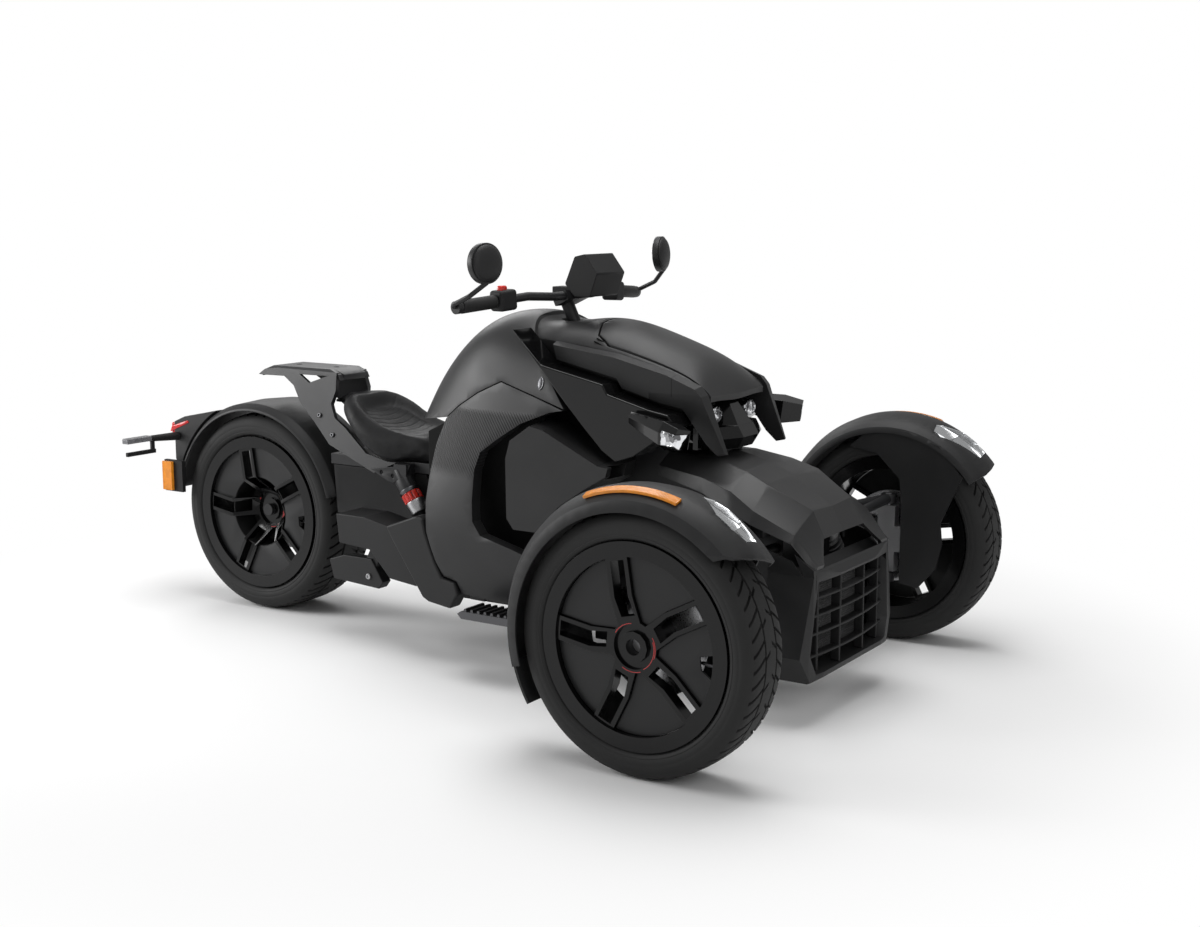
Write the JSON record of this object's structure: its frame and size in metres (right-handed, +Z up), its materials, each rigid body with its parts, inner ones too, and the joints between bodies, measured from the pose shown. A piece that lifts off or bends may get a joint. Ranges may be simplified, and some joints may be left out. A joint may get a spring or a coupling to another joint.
{
  "type": "three-wheeled motorcycle",
  "caption": "Open three-wheeled motorcycle with steered front wheels under mudguards, a driven rear wheel on a single-sided arm, a solo seat, a luggage rack and a lidded nose bin.",
  "frame": {"origin": "on the floor under the centre of the bounding box, between the wheels", "axes": "+X forward, +Y to the rider's left, +Z up"},
  "size_m": [2.352, 1.509, 1.1123],
  "materials": {
    "satin_black": "satin",
    "gloss_black": "gloss",
    "matte_black": "matte",
    "frame_black": "satin",
    "wheel_black": "satin",
    "tyre": "matte",
    "rubber": "matte",
    "steel": "satin",
    "aluminium": "satin",
    "clear_lens": "gloss",
    "red_lens": "gloss",
    "amber_lens": "gloss",
    "mirror": "mirror",
    "leather": "matte"
  },
  "bodies": {
    "chassis": {"engine_block": "frame_black", "engine_covers": "satin_black", "side_panels": "matte_black", "tank_cover": "satin_black", "upper_cowl": "satin_black", "cowl_blades": "gloss_black", "shoulder_panels": "gloss_black", "headlight_unit": "gloss_black", "lamp_lenses": "clear_lens", "aux_lamps": "gloss_black", "nose_hood": "satin_black", "front_bumper": "satin_black", "grille": "matte_black", "radiator": "matte_black", "main_frame": "frame_black", "front_arms": "frame_black", "front_shocks": "frame_black", "seat": "leather", "rear_rack": "frame_black", "rear_fender": "matte_black", "tail_housing": "satin_black", "tail_lens": "red_lens", "tail_signals": "matte_black", "signal_lenses": "clear_lens", "side_reflectors": "amber_lens", "swingarm": "frame_black", "rear_shock": "steel", "silencer": "matte_black", "rear_skirts": "matte_black", "belly_pan": "matte_black", "footpegs": "aluminium"},
    "storage_lid": {"storage_lid": "satin_black"},
    "steering": {"handlebar": "frame_black", "grips": "rubber", "switchgear": "matte_black", "gauge_pod": "satin_black", "mirrors": "frame_black", "mirror_glass": "mirror"},
    "rear_wheel": {"rear_tyre": "tyre", "rear_rim": "wheel_black", "rear_brake_disc": "steel"},
    "left_knuckle": {"front_left_knuckle": "aluminium", "front_left_brake_caliper": "frame_black", "front_left_fender": "satin_black", "front_left_fender_lamps": "amber_lens"},
    "left_tie_rod": {"front_left_tie_rod": "frame_black"},
    "front_left_wheel": {"front_left_tyre": "tyre", "front_left_rim": "wheel_black", "front_left_brake_disc": "steel"},
    "right_knuckle": {"front_right_knuckle": "aluminium", "front_right_brake_caliper": "frame_black", "front_right_fender": "satin_black", "front_right_fender_lamps": "amber_lens"},
    "right_tie_rod": {"front_right_tie_rod": "frame_black"},
    "front_right_wheel": {"front_right_tyre": "tyre", "front_right_rim": "wheel_black", "front_right_brake_disc": "steel"}
  },
  "joints": [
    {"name": "steering", "type": "hinge", "parent": "chassis", "child": "steering", "pos_m": [0.231, 0, 0.94], "axis": [-0.4226, 0, 0.9063], "range_deg": [-28, 28]},
    {"name": "lid_hinge", "type": "hinge", "parent": "chassis", "child": "storage_lid", "pos_m": [0.726, 0, 0.746], "axis": [0, 1, 0], "range_deg": [0, 50]},
    {"name": "rear_wheel_spin", "type": "hinge", "parent": "chassis", "child": "rear_wheel", "pos_m": [-0.823, 0, 0.2955], "axis": [0, 1, 0], "continuous": true},
    {"name": "right_kingpin", "type": "hinge", "parent": "chassis", "child": "right_knuckle", "pos_m": [0.886, -0.6075, 0.29], "axis": [0, 0, 1], "range_deg": [-25, 25]},
    {"name": "right_tie_rod_ball", "type": "hinge", "parent": "right_knuckle", "child": "right_tie_rod", "pos_m": [0.794, -0.6035, 0.25], "axis": [0, 0, 1], "range_deg": [-25, 25]},
    {"name": "front_right_wheel_spin", "type": "hinge", "parent": "right_knuckle", "child": "front_right_wheel", "pos_m": [0.886, -0.6675, 0.29], "axis": [0, 1, 0], "continuous": true},
    {"name": "left_kingpin", "type": "hinge", "parent": "chassis", "child": "left_knuckle", "pos_m": [0.886, 0.6075, 0.29], "axis": [0, 0, 1], "range_deg": [-25, 25]},
    {"name": "left_tie_rod_ball", "type": "hinge", "parent": "left_knuckle", "child": "left_tie_rod", "pos_m": [0.794, 0.6035, 0.25], "axis": [0, 0, 1], "range_deg": [-25, 25]},
    {"name": "front_left_wheel_spin", "type": "hinge", "parent": "left_knuckle", "child": "front_left_wheel", "pos_m": [0.886, 0.6675, 0.29], "axis": [0, 1, 0], "continuous": true}
  ],
  "couplings": [
    {"joint": "right_kingpin", "follows": "steering", "ratio": 0.89286},
    {"joint": "right_tie_rod_ball", "follows": "steering", "ratio": -0.89286},
    {"joint": "left_kingpin", "follows": "steering", "ratio": 0.89286},
    {"joint": "left_tie_rod_ball", "follows": "steering", "ratio": -0.89286}
  ]
}
